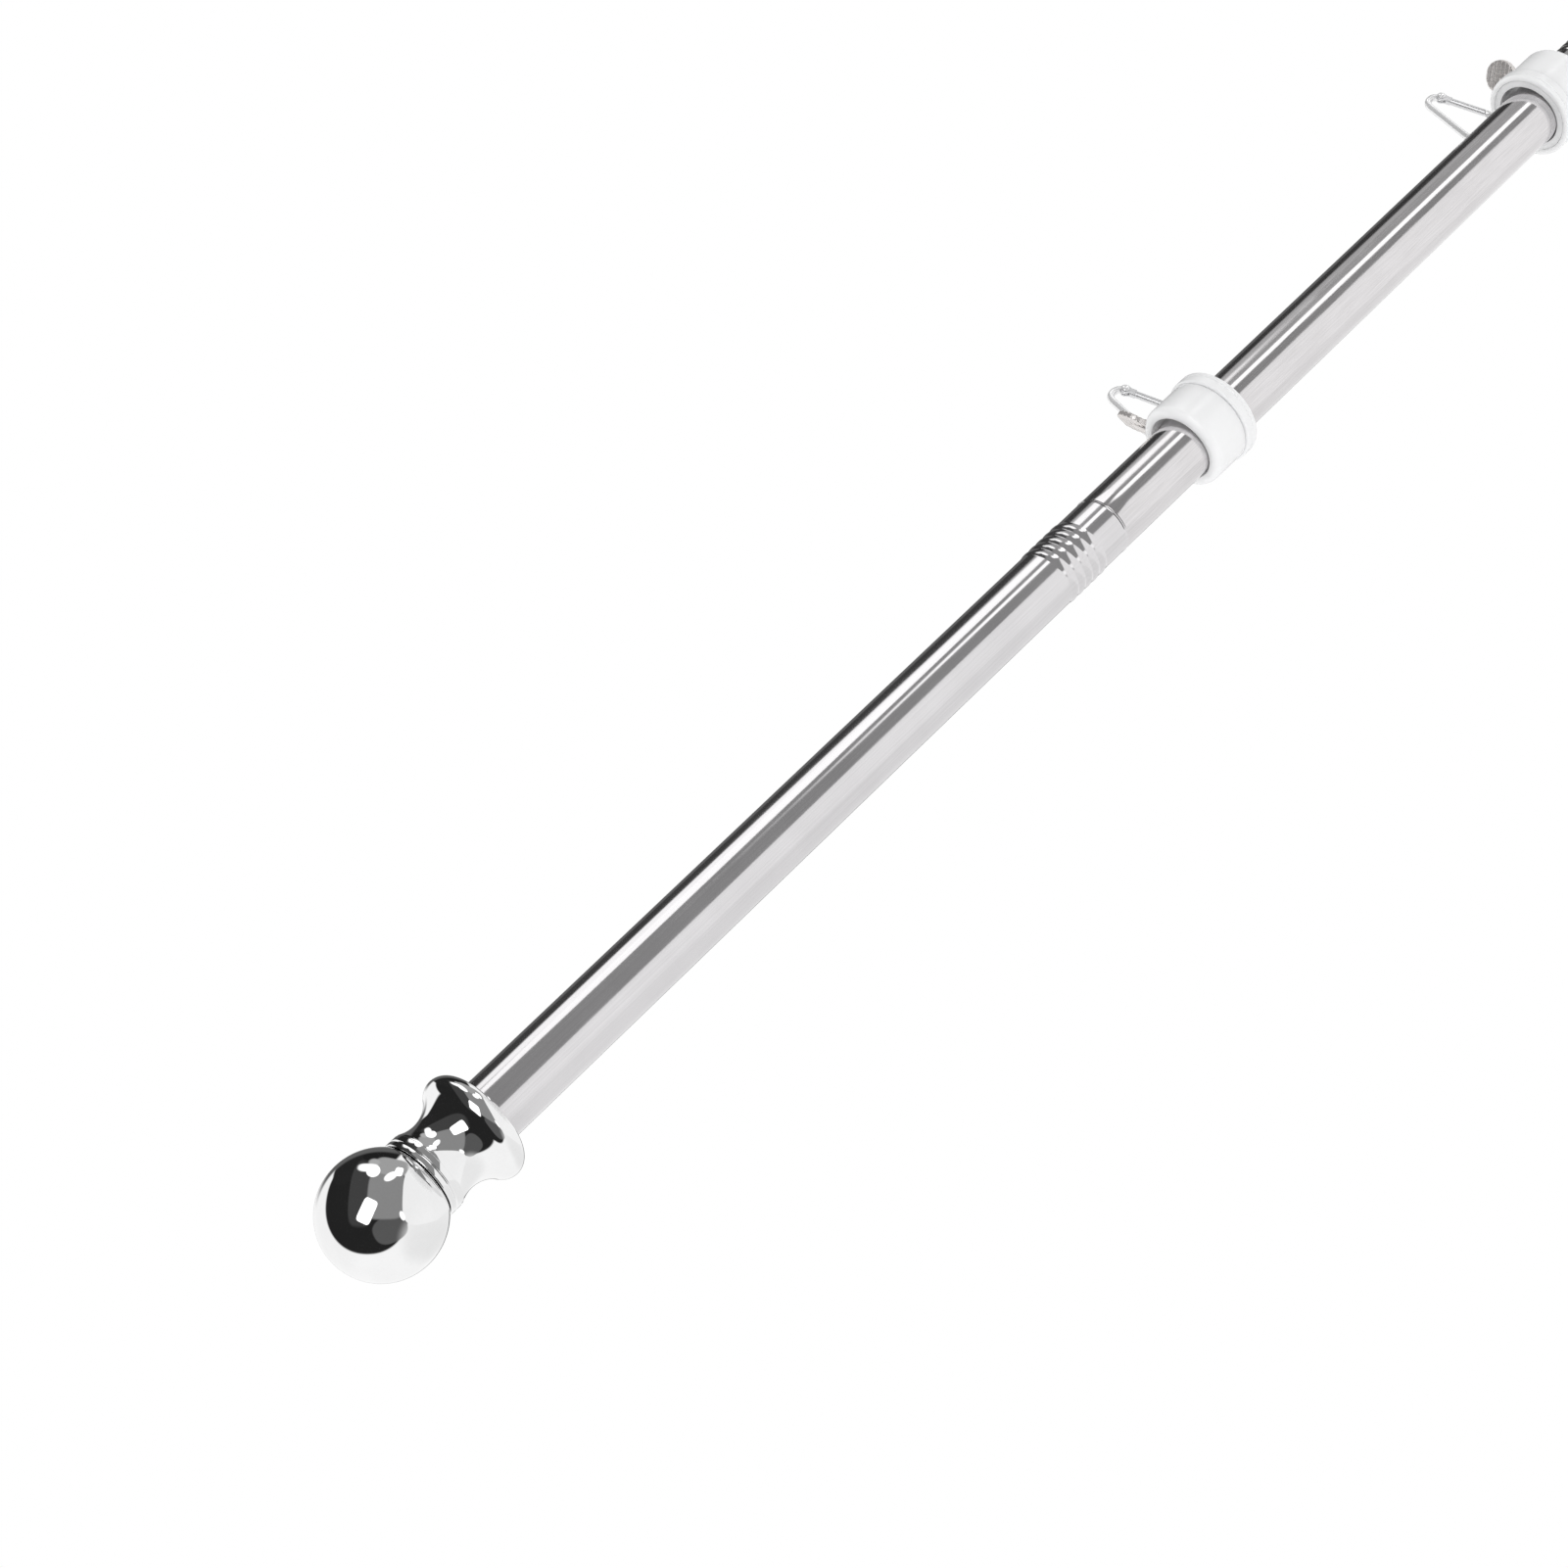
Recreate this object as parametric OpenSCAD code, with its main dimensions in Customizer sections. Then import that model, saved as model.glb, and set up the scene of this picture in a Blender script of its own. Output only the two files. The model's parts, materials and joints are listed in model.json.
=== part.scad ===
/* [Pole] */
// Outside diameter of the tube
pole_d = 25.4; // [22:0.1:32]
// Wall of the tube
tube_wall = 0.7; // [0.6:0.1:2]
// Length of one section, shoulder to lower edge
section_length = 381; // [330:1:600]
// Smoothness of round shapes
$fn = 96; // [48:16:160]

/* [Screw joints] */
// Rolled thread ridges at the lower end of a section
ridge_count = 5; // [3:1:7]
// Distance from ridge to ridge
ridge_pitch = 4.45; // [3.5:0.05:6]
// Height of the first ridge above the section's lower edge
ridge_start = 16.9; // [8:0.1:25]
// How far a ridge stands out of the tube
ridge_height = 0.45; // [0.2:0.05:0.8]
// Radius of a ridge's rounded crest
ridge_round = 1.5; // [1:0.1:2]
// How far the rolled lower edge stands out of the tube
edge_height = 0.25; // [0.1:0.05:0.5]
// Radius of the rolled lower edge
edge_round = 0.6; // [0.4:0.1:1]
// Length of the reduced end that screws into the section above
spigot_length = 42; // [30:1:60]
// Thickness of the shoulder below the reduced end
shoulder_thickness = 2; // [1:0.1:4]
// Gap between a reduced end and the tube round it
spigot_gap = 0.12; // [0.05:0.01:0.3]

/* [Finial] */
// Diameter of the ball
ball_d = 46.6; // [36:0.1:60]
// Height of the ball's centre above the rim of its base
ball_height = 51.2; // [48:0.1:70]
// Largest diameter of the flared base
skirt_d = 44.4; // [40:0.1:50]
// Diameter of the neck at its narrowest
neck_d = 29.4; // [27.5:0.1:32]
// Height of the narrowest place above the rim
neck_height = 21.2; // [19:0.1:23]
// Radius of the hollow curve of the neck
cove_radius = 14.6; // [12:0.1:16]
// Diameter of the bead under the ball
bead_d = 32.8; // [31:0.1:38]
// Radius of the bead's rounding
bead_round = 1.1; // [0.8:0.1:3]
// Height of the bead's middle above the rim
bead_height = 31; // [28.5:0.1:32]
// Depth of the socket for the pole
socket_depth = 24; // [15:0.5:25]
// Gap between the pole and its socket
socket_gap = 0.12; // [0.05:0.01:0.3]
// Wall of the hollow ball
ball_wall = 1.5; // [1:0.1:3]
// Diameter of the stud under the ball
stud_d = 9; // [6:0.5:14]
// Bore of the stud, which leads into the ball
stud_bore = 5; // [3:0.5:5]
// Length of the stud inside the base
stud_length = 7; // [3:0.5:8]
// Gap between the ball and its seat
seat_gap = 0.1; // [0.05:0.05:0.3]

/* [End plug] */
// Thickness of the plug's flange
plug_flange = 2.5; // [1.5:0.1:6]
// How far the flange lies inside the tube's outside
plug_inset = 0.2; // [0.1:0.1:1]
// Length of the plug inside the tube
plug_length = 16; // [8:1:40]
// Wall of the hollow plug
plug_wall = 2; // [1:0.1:4]
// Gap between the plug and the tube
plug_gap = 0.1; // [0.05:0.05:0.3]

/* [Swivel rings] */
// Bore of a ring
ring_bore_d = 28.6; // [28.2:0.1:36]
// Outside diameter of the clamp sleeve
sleeve_d = 37.6; // [36:0.1:38.5]
// Length of the clamp sleeve
sleeve_length = 18.9; // [18:0.1:30]
// Rounding of the sleeve's free end
sleeve_round = 3; // [0.5:0.1:3.5]
// Outside diameter of the turning collar
collar_d = 39.6; // [38.6:0.1:42]
// Length of the turning collar
collar_length = 6.6; // [5:0.1:10]
// Rounding of the collar's edges
collar_round = 0.9; // [0.3:0.1:1.5]
// Wall of the journal that the collar turns on
journal_wall = 2; // [1.5:0.1:2.2]
// How far the journal's lip stands out to keep the collar on
lip_height = 0.8; // [0.4:0.1:1]
// Thickness of that lip
lip_thickness = 1.2; // [0.8:0.1:2]
// Gap that the collar turns in
turning_gap = 0.15; // [0.1:0.05:0.3]
// Gap between ring and pole opposite the thumb screw
pole_gap = 0.3; // [0.2:0.05:0.5]
// Turning plane of the upper ring below the first screw joint
ring_1_drop = 72; // [45:1:120]
// Turning plane of the lower ring above the second screw joint
ring_2_rise = 66; // [62:1:120]

/* [Collar ear] */
// Direction of the ear round the pole
ear_angle = 54; // [30:1:80]
// Distance of the ear's hole from the ring's middle
ear_reach = 23.5; // [23:0.1:27]
// Thickness of the ear
ear_thickness = 2.2; // [1.6:0.1:2.4]
// Width of ear round the hole
ear_margin = 2; // [1.6:0.1:3]
// Gap between the hook's wire and the ear's hole
ear_gap = 1; // [0.9:0.05:1.1]

/* [Thumb screw] */
// Diameter of the screw
screw_d = 4; // [3:0.5:5]
// Direction of the screw round the pole
screw_angle = 15; // [0:1:30]
// Height of the screw above the turning plane
screw_height = 13.6; // [13:0.1:14.5]
// Gap between the screw and its threaded hole
screw_gap = 0.05; // [0.02:0.01:0.1]
// Gap between the screw's point and the pole
point_gap = 0.05; // [0.02:0.01:0.3]
// Diameter of the flat thumb plate
plate_d = 15.4; // [10:0.1:15.8]
// Thickness of the thumb plate
plate_thickness = 2; // [1.5:0.1:3]
// Distance of the plate's middle from the ring's middle
plate_reach = 26.8; // [26.5:0.1:32]
// Turn of the upper screw's plate about the screw
plate_1_turn = -28; // [-30:1:30]
// Turn of the lower screw's plate about the screw
plate_2_turn = 20; // [-30:1:30]
// Diameter of the screw's neck under the plate
screw_neck_d = 5.6; // [5.2:0.1:8]
// Grip ribs on each side of the plate
rib_count = 6; // [3:1:7]
// Distance from rib to rib
rib_pitch = 2.1; // [2:0.1:3]
// Width of a rib
rib_width = 1.1; // [0.6:0.1:1.6]
// How far a rib stands out of the plate
rib_height = 0.35; // [0.2:0.05:0.6]

/* [Snap hook] */
// Thickness of the hook's wire
wire_d = 3; // [2.4:0.1:3.2]
// Length of the hook over all
hook_length = 38; // [36:0.5:50]
// Width of the hook at its wide end, over all
wide_width = 21; // [19:0.5:21]
// Width of the hook at its narrow end, over all
narrow_width = 11.4; // [10.5:0.1:13]
// How far the straight arm is thicker than the bends, in radius
arm_swell = 0.05; // [0.04:0.01:0.1]
// Angle that the upper hook has slipped round its wide end in the ear
hook_1_slip = 0; // [0:1:10]
// Angle that the lower hook has slipped round its wide end in the ear
hook_2_slip = 22; // [0:1:23]
// Thickness of the flattened wire end at the rivet
eye_thickness = 1.2; // [0.8:0.1:1.4]
// Diameter of the flattened wire end
eye_d = 4; // [3.6:0.1:4.4]
// Diameter of the gate's rivet
rivet_d = 1.8; // [1.4:0.1:2]
// Diameter of the rivet's heads
rivet_head_d = 3.4; // [2.8:0.1:4]
// Height of the rivet's heads
rivet_head = 0.6; // [0.4:0.1:1]
// Gap between sliding faces of the gate
gate_gap = 0.15; // [0.1:0.05:0.25]
// Gap between the closed gate and the hook's nose
latch_gap = 0.4; // [0.3:0.1:0.6]
// Thickness of the gate's tongue
tongue_thickness = 0.8; // [0.6:0.1:1]
// Length of the gate's tongue
tongue_length = 2; // [1:0.1:2.5]
// Wall of wire left outside the tongue's slot
slot_floor = 0.8; // [0.6:0.1:1]

/* [Hidden] */

section_count = 4;
steel = [0.74, 0.73, 0.72];
bright_steel = [0.83, 0.83, 0.84];
chrome = [0.88, 0.89, 0.9];
white_plastic = [0.95, 0.95, 0.94];
grey_plastic = [0.25, 0.25, 0.26];
satin_metal = [0.55, 0.52, 0.48];

pole_r = pole_d / 2;
bore_r = pole_r - tube_wall;
spigot_r = bore_r - spigot_gap;
pole_top = plug_flange + section_count * section_length;
rim_z = pole_top - socket_depth;
joint_1_z = plug_flange + 3 * section_length;
joint_2_z = plug_flange + 2 * section_length;

ball_r = ball_d / 2;
skirt_r = skirt_d / 2;
neck_r = neck_d / 2;
bead_r = bead_d / 2;
cove_centre = [neck_r + cove_radius, neck_height];

// The rim is a round that rests on the rim plane, reaches the skirt and runs smoothly into the neck
cove_past_skirt = cove_centre.x - skirt_r;
rim_sum = neck_height + cove_radius - cove_past_skirt;
rim_round = rim_sum - sqrt(rim_sum ^ 2 - cove_past_skirt ^ 2 - neck_height ^ 2 + cove_radius ^ 2);
rim_centre = [skirt_r - rim_round, rim_round];
rim_to_cove = (cove_centre - rim_centre) / norm(cove_centre - rim_centre);
rim_end = rim_centre + rim_round * rim_to_cove;

ring_bore_r = ring_bore_d / 2;
sleeve_r = sleeve_d / 2;
collar_r = collar_d / 2;
journal_r = ring_bore_r + journal_wall;
lip_r = journal_r + lip_height;
lip_recess = lip_thickness + turning_gap;
collar_top = -turning_gap;
collar_foot = collar_top - collar_length;
collar_middle = (collar_top + collar_foot) / 2;
ring_offset = ring_bore_r - pole_r - pole_gap;
ring_1_z = joint_1_z - ring_1_drop;
ring_2_z = joint_2_z + ring_2_rise;

wire_r = wire_d / 2;
hole_r = wire_r + ear_gap;
ear_r = hole_r + ear_margin;
wide_r = wide_width / 2 - wire_r;
narrow_r = narrow_width / 2 - wire_r;
span = hook_length - wide_r - narrow_r - wire_d;
taper = asin((wide_r - narrow_r) / span);
arm_length = span * cos(taper);
cheek_inner = eye_thickness / 2 + gate_gap;
cheek_outer = max(wire_r, cheek_inner + 0.6);
cheek_d = eye_d + gate_gap;
cheek_width = 0.75 * wire_d;
cheek_room = cheek_d / 2 + 3 * gate_gap;
slot_width = tongue_thickness + 2 * gate_gap;
bend_overlap = 4;

// A point on the hook's centre line where a straight arm meets an arc, side 1 at the back and -1 at the gate
function arm_at_wide(side) = [wide_r * sin(taper), side * wide_r * cos(taper)];
function arm_at_narrow(side) = [span + narrow_r * sin(taper), side * narrow_r * cos(taper)];

// One tube, from its lower edge at zero up to its shoulder or plain top
module tube(with_thread, with_spigot) {
    color(steel)
    rotate_extrude() {
        difference() {
            union() {
                square([pole_r, section_length]);
                if (with_thread) {
                    translate([pole_r + edge_height - edge_round, edge_round]) circle(edge_round);
                    for (i = [0 : ridge_count - 1])
                        translate([pole_r + ridge_height - ridge_round, ridge_start + i * ridge_pitch])
                            circle(ridge_round);
                }
            }
            square([bore_r, section_length]);
        }
        if (with_spigot) {
            translate([spigot_r - tube_wall, section_length - shoulder_thickness])
                square([tube_wall, shoulder_thickness + spigot_length]);
            translate([spigot_r - tube_wall, section_length - shoulder_thickness])
                square([pole_r - spigot_r + tube_wall / 2, shoulder_thickness]);
        }
    }
}

// Section numbers run down from the finial, and the lowest has a plain end for its bracket
module section_at(number) {
    translate([0, 0, plug_flange + (section_count - number) * section_length])
        tube(number < section_count, number > 1);
}

module finial_ball() {
    color(chrome)
    translate([0, 0, rim_z + ball_height])
    difference() {
        union() {
            sphere(ball_r);
            translate([0, 0, -stud_drop()]) cylinder(d = stud_d, h = stud_drop());
        }
        sphere(ball_r - ball_wall);
        translate([0, 0, -stud_drop() - seat_gap]) cylinder(d = stud_bore, h = stud_drop());
    }
}

// From the ball's centre down to the foot of its stud
function stud_drop() = ball_height - socket_depth - seat_gap - stud_room();

// Solid left between the pole's socket and the foot of the stud's hole
function stud_room() = bead_height + bead_round - socket_depth - stud_length;

module finial_base() {
    color(chrome)
    translate([0, 0, rim_z])
    difference() {
        rotate_extrude() base_outline();
        translate([0, 0, -seat_gap]) cylinder(r = pole_r + socket_gap, h = socket_depth + seat_gap);
        translate([0, 0, socket_depth + stud_room()]) cylinder(r = stud_d / 2 + seat_gap, h = ball_height);
        translate([0, 0, ball_height]) sphere(ball_r + seat_gap);
    }
}

// Half section of the base: rounded rim, hollow neck and a bead under the ball
module base_outline() {
    difference() {
        union() {
            translate(rim_centre) circle(rim_round);
            polygon([[0, 0], [rim_centre.x, 0], rim_centre, rim_end, [rim_end.x, neck_height],
                [bead_r, neck_height], [bead_r, bead_height], [0, bead_height]]);
        }
        translate(cove_centre) circle(cove_radius);
    }
    translate([bead_r - bead_round, bead_height]) circle(bead_round);
    translate([0, neck_height]) square([bead_r - bead_round, bead_height + bead_round - neck_height]);
}

module end_plug() {
    color(grey_plastic)
    difference() {
        union() {
            cylinder(r = pole_r - plug_inset, h = plug_flange);
            cylinder(r = bore_r - plug_gap, h = plug_flange + plug_length);
        }
        translate([0, 0, plug_flange])
            cylinder(r = bore_r - plug_gap - plug_wall, h = plug_length + plug_flange);
    }
}

// Puts a ring's piece on the pole, its sleeve up on ring 1 and down on ring 2
module on_ring(number) {
    turn = number == 1 ? 0 : 180;
    translate([0, 0, number == 1 ? ring_1_z : ring_2_z])
    rotate([0, 0, screw_angle])
    translate([ring_offset, 0, 0])
    rotate([turn, 0, 0])
        children();
}

// White sleeve with the bore for the pole, the screw's hole and the journal below it
module clamp_sleeve(number) {
    color(white_plastic)
    on_ring(number)
    difference() {
        rotate_extrude() {
            difference() {
                union() {
                    square([sleeve_r, sleeve_length - sleeve_round]);
                    square([sleeve_r - sleeve_round, sleeve_length]);
                    translate([sleeve_r - sleeve_round, sleeve_length - sleeve_round]) circle(sleeve_round);
                    translate([0, collar_foot]) square([journal_r, -collar_foot]);
                    translate([0, collar_foot]) square([lip_r, lip_thickness]);
                }
                translate([0, collar_foot]) square([ring_bore_r, sleeve_length - collar_foot]);
            }
        }
        translate([ring_bore_r / 2, 0, screw_height])
            rotate([0, 90, 0]) cylinder(r = screw_d / 2 + screw_gap, h = sleeve_r);
    }
}

// Screw with a flat round plate to turn it by, its ribs across the screw
module thumb_screw(number) {
    point = pole_r - ring_offset + point_gap;
    neck_end = plate_reach - plate_d / 2 + screw_neck_d / 4;
    color(satin_metal)
    on_ring(number)
    translate([0, 0, screw_height])
    rotate([number == 1 ? plate_1_turn : plate_2_turn, 0, 0]) {
        translate([point, 0, 0]) rotate([0, 90, 0]) cylinder(d = screw_d, h = plate_reach - point);
        translate([sleeve_r + point_gap, 0, 0])
            rotate([0, 90, 0]) cylinder(d = screw_neck_d, h = neck_end - sleeve_r - point_gap);
        translate([plate_reach, 0, -plate_thickness / 2]) cylinder(d = plate_d, h = plate_thickness);
        intersection() {
            translate([plate_reach, 0, -plate_thickness])
                cylinder(d = plate_d - rib_width, h = 2 * plate_thickness);
            for (i = [0 : rib_count - 1])
                translate([plate_reach + (i - (rib_count - 1) / 2) * rib_pitch, 0, 0])
                    cube([rib_width, plate_d, plate_thickness + 2 * rib_height], center = true);
        }
    }
}

// White collar that turns on the journal and carries the hook's ear
module swivel_collar(number) {
    color(white_plastic)
    on_ring(number)
    difference() {
        union() {
            rotate_extrude() collar_outline();
            rotate([0, 0, number == 1 ? ear_turn() : -ear_turn()])
            translate([0, 0, collar_middle - ear_thickness / 2]) {
                translate([ear_reach, 0, 0]) cylinder(r = ear_r, h = ear_thickness);
                translate([collar_r - collar_round * 2, -ear_r, 0])
                    cube([ear_reach - collar_r + collar_round * 2, 2 * ear_r, ear_thickness]);
            }
        }
        rotate([0, 0, number == 1 ? ear_turn() : -ear_turn()])
        translate([ear_reach, 0, collar_foot]) cylinder(r = hole_r, h = collar_length);
    }
}

// Angle of the ear from the thumb screw
function ear_turn() = ear_angle - screw_angle;

// Half section of the collar, with a recess for the journal's lip
module collar_outline() {
    inner = journal_r + turning_gap;
    difference() {
        union() {
            translate([inner, collar_foot + collar_round])
                square([collar_r - inner, collar_length - 2 * collar_round]);
            translate([inner, collar_foot]) square([collar_r - inner - collar_round, collar_length]);
            for (height = [collar_foot + collar_round, collar_top - collar_round])
                translate([collar_r - collar_round, height]) circle(collar_round);
        }
        translate([inner, collar_foot]) square([lip_height, lip_recess]);
    }
}

// Puts a hook's piece with its wide end in the ear and its length along X, its gate towards the butt
module on_ear(number) {
    height = number == 1 ? ring_1_z + collar_middle : ring_2_z - collar_middle;
    slip = number == 1 ? hook_1_slip : hook_2_slip;
    translate([ring_offset * cos(screw_angle), ring_offset * sin(screw_angle), height])
    translate([ear_reach * cos(ear_angle), ear_reach * sin(ear_angle), 0])
    rotate([90, 0, 0])
    translate([wide_r * cos(slip), wide_r * sin(slip), 0])
        children();
}

// Round wire along an arc in the hook's plane
module wire_arc(radius, start, sweep) {
    rotate([0, 0, start])
    rotate_extrude(angle = sweep)
    translate([radius, 0]) circle(wire_r);
}

// Round wire along a straight line in the hook's plane
module wire_rod(radius, start, angle, length) {
    translate(start)
    rotate([0, 0, angle])
    rotate([0, 90, 0])
        cylinder(r = radius, h = length);
}

// Pear-shaped wire hook, flattened to an eye at the rivet and slotted at the nose
module snap_hook(number) {
    color(bright_steel)
    on_ear(number)
    difference() {
        union() {
            difference() {
                union() {
                    wire_arc(wide_r, 90 - taper - bend_overlap, 180 + 2 * taper + bend_overlap);
                    wire_rod(wire_r + arm_swell, arm_at_wide(1), -taper, arm_length);
                    translate([span, 0, 0]) wire_arc(narrow_r, taper - 90, 180 - 2 * taper + bend_overlap);
                }
                translate(arm_at_narrow(-1))
                    for (side = [0, 180])
                        rotate([side, 0, 0])
                        translate([0, 0, eye_thickness / 2]) cylinder(r = cheek_room, h = wire_d);
            }
            translate(arm_at_narrow(-1)) cylinder(d = eye_d, h = eye_thickness, center = true);
        }
        translate(arm_at_narrow(-1)) cylinder(d = rivet_d, h = wire_d, center = true);
        translate(arm_at_wide(-1))
        rotate([0, 0, 180 + taper])
        translate([-wire_r, -wire_d, -slot_width / 2])
            cube([wire_r + tongue_length + latch_gap, wire_d + wire_r - slot_floor, slot_width]);
    }
}

// Gate that turns inwards on the rivet, forked at the rivet and with a tongue at its end
module hook_gate(number) {
    rod_start = eye_d / 2 + 2 * gate_gap;
    color(bright_steel)
    on_ear(number)
    translate(arm_at_narrow(-1))
    rotate([0, 0, 180 + taper]) {
        difference() {
            union() {
                wire_rod(wire_r, [rod_start, 0, 0], 0, arm_length - latch_gap - rod_start);
                for (side = [-1, 1])
                    translate([0, 0, side * (cheek_inner + cheek_outer) / 2]) {
                        cylinder(d = cheek_d, h = cheek_outer - cheek_inner, center = true);
                        translate([(rod_start + wire_r) / 2, 0, 0])
                            cube([rod_start + wire_r, cheek_width, cheek_outer - cheek_inner], center = true);
                    }
            }
            cylinder(r = rivet_d / 2 + gate_gap, h = 2 * wire_d, center = true);
        }
        translate([arm_length - latch_gap - wire_r, gate_gap - wire_r, -tongue_thickness / 2])
            cube([wire_r + tongue_length, wire_d - slot_floor - 2 * gate_gap, tongue_thickness]);
    }
}

module hook_rivet(number) {
    color(satin_metal)
    on_ear(number)
    translate(arm_at_narrow(-1)) {
        cylinder(d = rivet_d, h = 2 * cheek_outer + 2 * gate_gap, center = true);
        for (side = [0, 180])
            rotate([side, 0, 0])
            translate([0, 0, cheek_outer + gate_gap]) cylinder(d = rivet_head_d, h = rivet_head);
    }
}

finial_ball();
finial_base();
section_at(1);  // pole_section_1
section_at(2);  // pole_section_2
section_at(3);  // pole_section_3
section_at(4);  // pole_section_4
end_plug();
clamp_sleeve(1);  // clamp_sleeve_1
thumb_screw(1);  // thumb_screw_1
swivel_collar(1);  // swivel_collar_1
snap_hook(1);  // snap_hook_1
hook_gate(1);  // hook_gate_1
hook_rivet(1);  // hook_rivet_1
clamp_sleeve(2);  // clamp_sleeve_2
thumb_screw(2);  // thumb_screw_2
swivel_collar(2);  // swivel_collar_2
snap_hook(2);  // snap_hook_2
hook_gate(2);  // hook_gate_2
hook_rivet(2);  // hook_rivet_2
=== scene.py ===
import json
import math

import bmesh
import bpy
import numpy as np
from mathutils import Matrix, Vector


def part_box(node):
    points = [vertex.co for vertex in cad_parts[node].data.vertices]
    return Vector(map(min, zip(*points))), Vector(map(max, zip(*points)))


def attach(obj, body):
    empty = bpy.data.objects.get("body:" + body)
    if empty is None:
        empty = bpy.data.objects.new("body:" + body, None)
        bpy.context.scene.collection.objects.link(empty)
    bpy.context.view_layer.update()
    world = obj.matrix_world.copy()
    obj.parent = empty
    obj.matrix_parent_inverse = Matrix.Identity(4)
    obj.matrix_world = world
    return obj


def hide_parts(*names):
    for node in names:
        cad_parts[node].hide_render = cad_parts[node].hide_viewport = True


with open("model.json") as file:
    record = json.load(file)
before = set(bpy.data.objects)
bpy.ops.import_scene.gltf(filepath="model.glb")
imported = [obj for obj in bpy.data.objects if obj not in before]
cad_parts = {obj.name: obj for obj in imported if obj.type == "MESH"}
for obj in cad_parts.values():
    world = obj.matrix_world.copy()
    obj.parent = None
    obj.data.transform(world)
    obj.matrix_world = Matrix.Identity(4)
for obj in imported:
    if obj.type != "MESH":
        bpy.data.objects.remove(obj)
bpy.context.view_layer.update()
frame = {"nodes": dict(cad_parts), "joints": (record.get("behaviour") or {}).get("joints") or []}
joints = {joint["name"]: joint for joint in frame["joints"]}
mm = 0.001          # shapes below are worked out in millimetres
weld = 2e-7         # points nearer than this, in metres, become one
tiny = 1e-6         # less than any size that matters
tau = 2 * math.pi
sectionCount = 4
print("frame loaded:", len(frame["nodes"]), "nodes")


# Corners of a node's box, in millimetres
def boxOf(node):
    return np.array(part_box(node)) / mm


# Place of a joint's axis, in millimetres
def axisOf(jointName):
    return np.array(joints[jointName]["pos_m"]) / mm


# A direction of length 1
def unit(vector):
    return vector / np.linalg.norm(vector)


# Points along a circular arc from one angle to another, in degrees
def arc(centre, radius, start, end, count=12):
    angle = np.radians(np.linspace(start, end, count))
    return np.stack([centre[0] + radius * np.cos(angle), centre[1] + radius * np.sin(angle)], axis=1)


# Evenly spaced points along a straight line, without its last point
def run(start, end, count=8):
    return np.linspace(start, end, count, endpoint=False)


# Eased step from 0 to 1 as a value goes from 0 to 1
def ease(value):
    held = np.clip(value, 0, 1)
    return held * held * (3 - 2 * held)


# A surface from a grid of points: quads join each row to the next, and each row closes on itself
def skin(points, closed=False):
    rows, columns = points.shape[:2]
    row = np.arange(rows if closed else rows - 1)[:, None]
    column = np.arange(columns)[None, :]
    nextRow = (row + 1) % rows * columns
    nextColumn = (column + 1) % columns
    here = row * columns
    quads = np.stack([here + column, here + nextColumn, nextRow + nextColumn, nextRow + column], axis=-1)
    return points.reshape(-1, 3), quads.reshape(-1, 4)


# Profile rows of (radius, height) carried round an upright axis; swell adds to the radius at each point
def revolve(profile, segments=128, centre=(0, 0), swell=0.0):
    angle = np.linspace(0, tau, segments, endpoint=False)
    radius = profile[:, :1] + swell
    height = profile[:, 1:] + 0 * angle
    return np.stack([centre[0] + radius * np.cos(angle), centre[1] + radius * np.sin(angle), height], axis=-1)


# A closed outline of (across, aside) points carried along stations, each with a centre and its own two axes
def sweep(outline, centres, acrossAxes, asideAxes, acrossScale=1.0, asideScale=1.0):
    across = outline[None, :, :1] * np.reshape(acrossScale, (-1, 1, 1))
    aside = outline[None, :, 1:] * np.reshape(asideScale, (-1, 1, 1))
    return centres[:, None] + across * acrossAxes[:, None] + aside * asideAxes[:, None]


# A flat outline given thickness: bevelled edges, and a point in the middle of each face
def slab(outline, low, high, bevel):
    middle = outline.mean(axis=0)
    inner = middle + (outline - middle) * (1 - bevel / np.abs(outline - middle).max())
    layers = [(middle + 0 * outline, low), (inner, low), (outline, low + bevel),
              (outline, high - bevel), (inner, high), (middle + 0 * outline, high)]
    return np.stack([np.column_stack([flat, np.full(len(flat), level)]) for flat, level in layers])


# Points given along three local axes, moved to where those axes lie on the pole
def place(points, origin, axes):
    return np.asarray(origin) + points @ np.asarray(axes, float)


# A new object in the scene
def addObject(name, data):
    made = bpy.data.objects.new(name, data)
    bpy.context.scene.collection.objects.link(made)
    return made


# Stands a camera or lamp at a spot, in metres, with its own three axes along these
def stand(thing, right, up, back, spot):
    columns = np.column_stack([right, up, back, spot])
    thing.matrix_world = Matrix([*columns.tolist(), [0, 0, 0, 1]])


# One piece from one or more skins, put in the place of a node and carried by a body
def makePiece(node, skins, body, material, crease=38):
    starts = np.cumsum([0] + [len(points) for points, quads in skins])
    allPoints = np.concatenate([points for points, quads in skins]) * mm
    allQuads = np.concatenate([quads + start for (points, quads), start in zip(skins, starts)])
    mesh = bpy.data.meshes.new(node + "_skin")
    mesh.from_pydata(allPoints.tolist(), [], allQuads.tolist())
    soup = bmesh.new()
    soup.from_mesh(mesh)
    bmesh.ops.remove_doubles(soup, verts=soup.verts, dist=weld)
    bmesh.ops.recalc_face_normals(soup, faces=soup.faces)
    soup.to_mesh(mesh)
    soup.free()
    mesh.shade_smooth()
    mesh.set_sharp_from_angle(angle=math.radians(crease))
    mesh.materials.append(material)
    piece = addObject(node + "_skin", mesh)
    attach(piece, body)
    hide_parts(node)


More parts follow.
